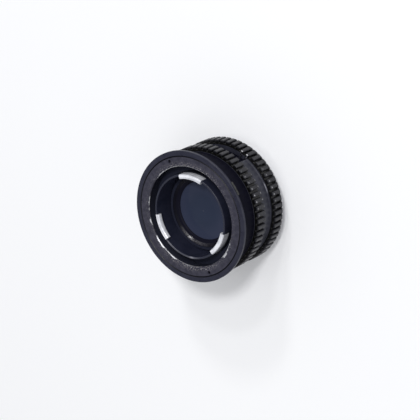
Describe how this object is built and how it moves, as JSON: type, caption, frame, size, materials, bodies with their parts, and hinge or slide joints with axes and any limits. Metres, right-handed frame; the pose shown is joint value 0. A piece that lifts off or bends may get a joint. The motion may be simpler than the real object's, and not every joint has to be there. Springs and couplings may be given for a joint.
{
  "type": "teleconverter",
  "caption": "Short black lens converter with a claw bayonet inside a wide flange, two ribbed rings, a turning lock ring and a bright camera-side bayonet.",
  "frame": {"origin": "centre of the camera-side end of the bayonet tube, on which the part stands", "axes": "+Z along the optical axis towards the lens side; +X through the middle of one camera-side lug"},
  "size_m": [0.062, 0.062, 0.0381],
  "materials": {
    "flange_anodised": "satin blue-black anodised",
    "plate_grey": "scuffed warm grey, bare at its inner edge",
    "index_enamel": "worn pale enamel",
    "barrel_black": "matt black",
    "ring_anodised": "semi-gloss blue-black anodised",
    "grip_black": "moulded ribs, satin",
    "sleeve_black": "satin black",
    "claw_chrome": "bright",
    "mount_chrome": "satin",
    "steel_bright": "polished",
    "steel_dark": "blackened",
    "brass": "satin",
    "baffle_black": "dead matt black",
    "retainer_gloss": "gloss black",
    "lens_coated": "coated, dark blue-grey",
    "lens_inner": "clear"
  },
  "bodies": {
    "barrel": {"front_flange": "flange_anodised", "face_plate": "plate_grey", "index_block": "index_enamel", "main_barrel": "barrel_black", "sleeve_retainer": "barrel_black", "friction_washer": "brass", "stop_pins": "steel_bright", "rear_ring": "ring_anodised", "rear_grip": "grip_black", "ring_set_screws": "steel_dark", "camera_mount": "mount_chrome", "mount_screws": "steel_bright", "rear_baffle": "baffle_black", "baffle_ring": "barrel_black", "lens_cell": "barrel_black", "front_retainer": "retainer_gloss", "front_lens": "lens_coated", "front_spacer": "barrel_black", "second_lens": "lens_inner", "middle_spacer": "barrel_black", "third_lens": "lens_inner", "rear_lens": "lens_inner"},
    "lock": {"claw_sleeve": "sleeve_black", "claw_ring": "claw_chrome", "claw_screws": "steel_dark", "drive_screws": "steel_dark", "lock_ring": "ring_anodised", "lock_grip": "grip_black"}
  },
  "joints": [
    {"name": "lock_turn", "type": "hinge", "parent": "barrel", "child": "lock", "pos_m": [0, 0, 0.023], "axis": [0, 0, 1], "range_deg": [-55, 0]}
  ]
}
